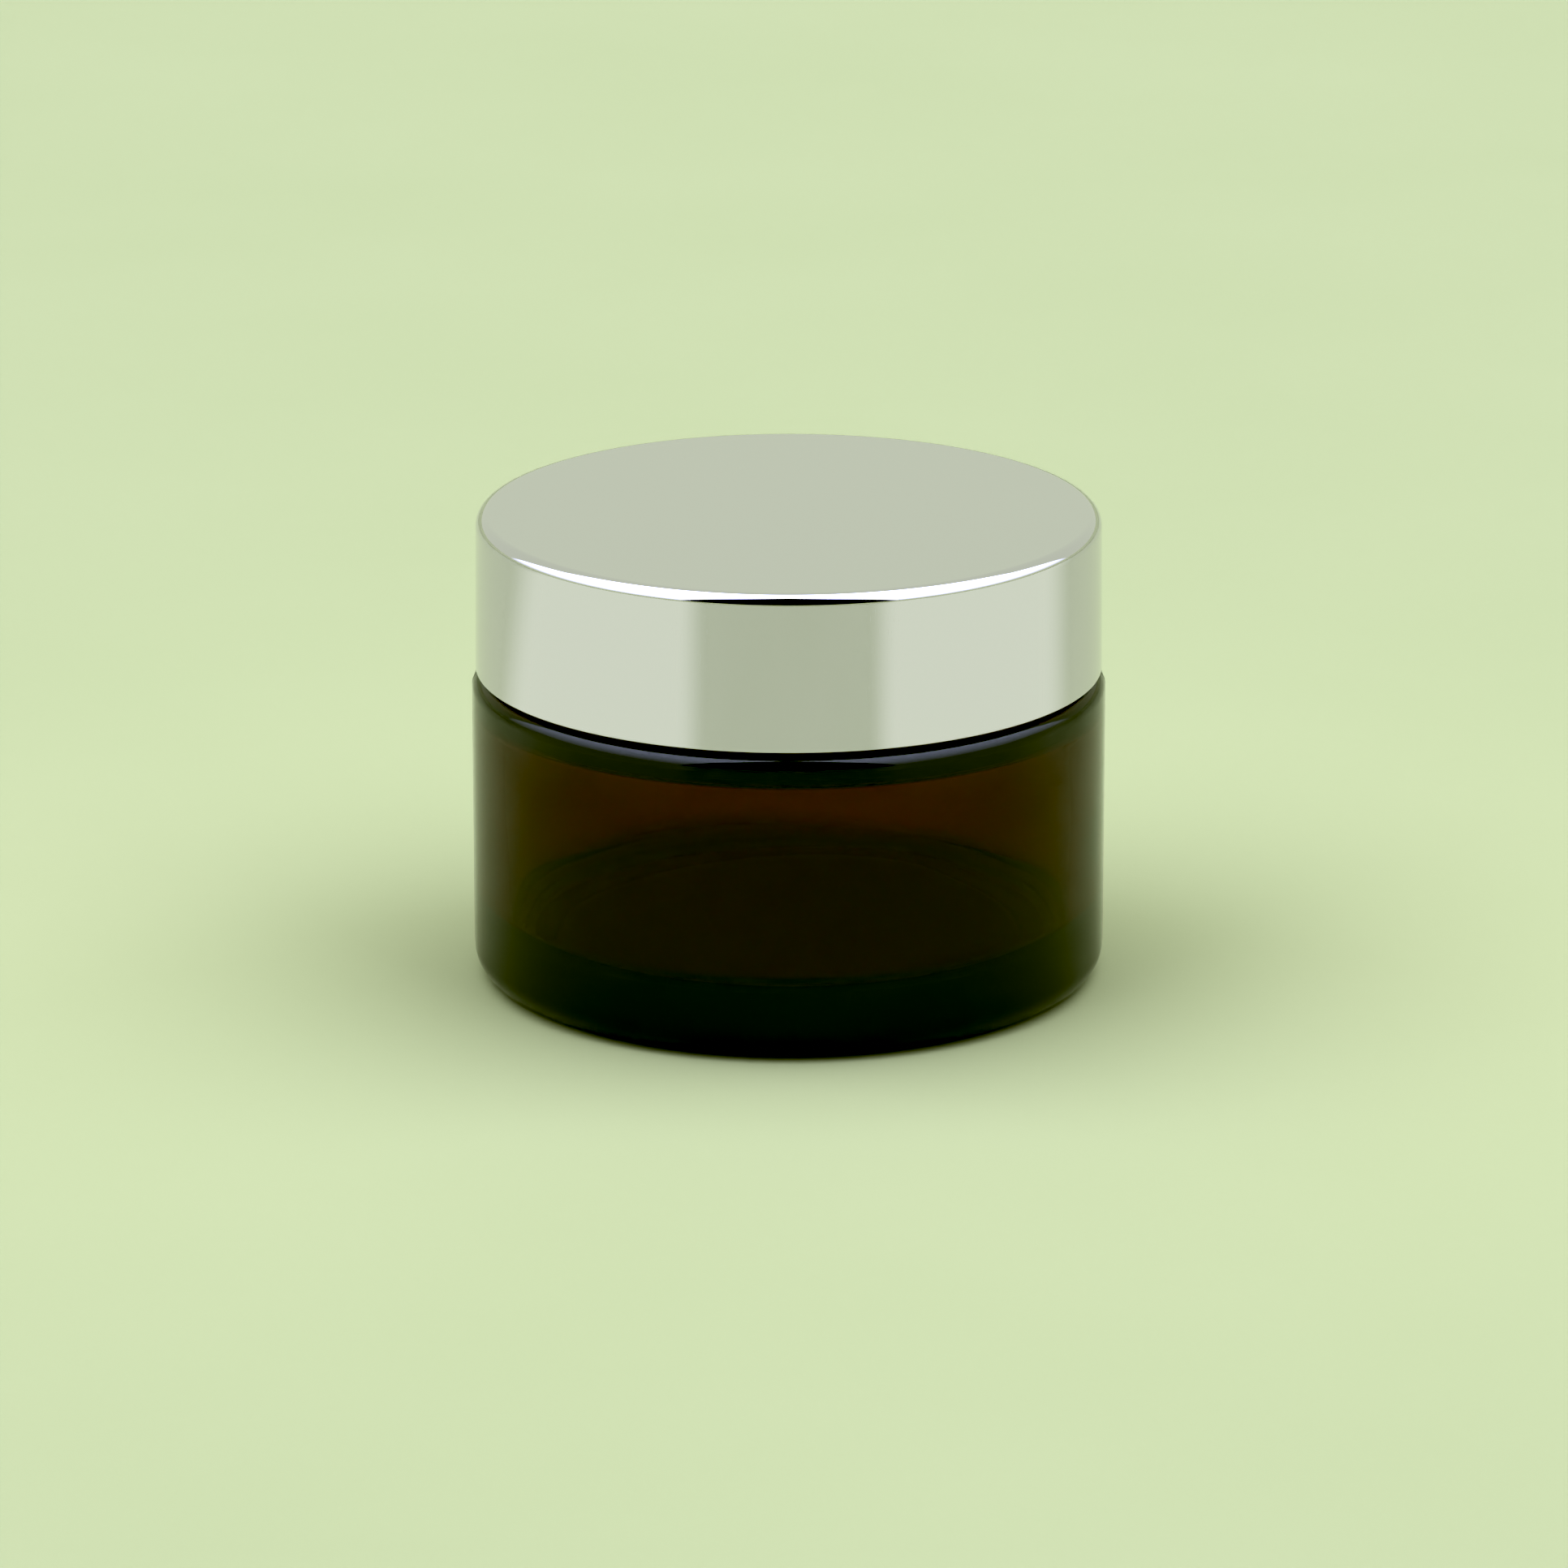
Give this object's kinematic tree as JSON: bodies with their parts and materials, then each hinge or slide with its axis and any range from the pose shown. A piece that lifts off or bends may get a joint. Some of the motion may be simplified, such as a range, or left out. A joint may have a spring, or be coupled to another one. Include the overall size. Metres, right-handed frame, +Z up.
{
  "type": "cosmetic cream jar",
  "caption": "Round amber glass cream jar with a bright metal screw lid, a plastic inner cap, a foam liner and a plastic sealing disc on its rim.",
  "frame": {"origin": "centre of the bearing ring that the jar stands on", "axes": "+Z up along the jar's axis; +X and +Y lie level"},
  "size_m": [0.061, 0.061, 0.0455],
  "materials": {
    "amber_glass": "gloss",
    "bright_metal": "polished",
    "white_cap_plastic": "satin",
    "liner_foam": "matte",
    "white_disc_plastic": "satin"
  },
  "bodies": {
    "jar": {"glass_jar": "amber_glass"},
    "liner": {"lid_liner": "liner_foam"},
    "lid": {"lid_overshell": "bright_metal", "lid_inner_cap": "white_cap_plastic"},
    "disc": {"sealing_disc": "white_disc_plastic"}
  },
  "joints": [
    {"name": "lid_rise", "type": "slide", "parent": "jar", "child": "liner", "axis": [0, 0, 1], "range_m": [0, 0.021]},
    {"name": "lid_unscrew", "type": "hinge", "parent": "liner", "child": "lid", "pos_m": [0, 0, 0.0455], "axis": [0, 0, 1], "range_deg": [0, 1800]},
    {"name": "disc_lift", "type": "slide", "parent": "jar", "child": "disc", "axis": [0, 0, 1], "range_m": [0, 0.005]}
  ],
  "couplings": [
    {"joint": "lid_rise", "follows": "lid_unscrew", "m_per_rad": 0.00066845},
    {"joint": "disc_lift", "follows": "lid_unscrew", "m_per_rad": 0.00015915}
  ]
}
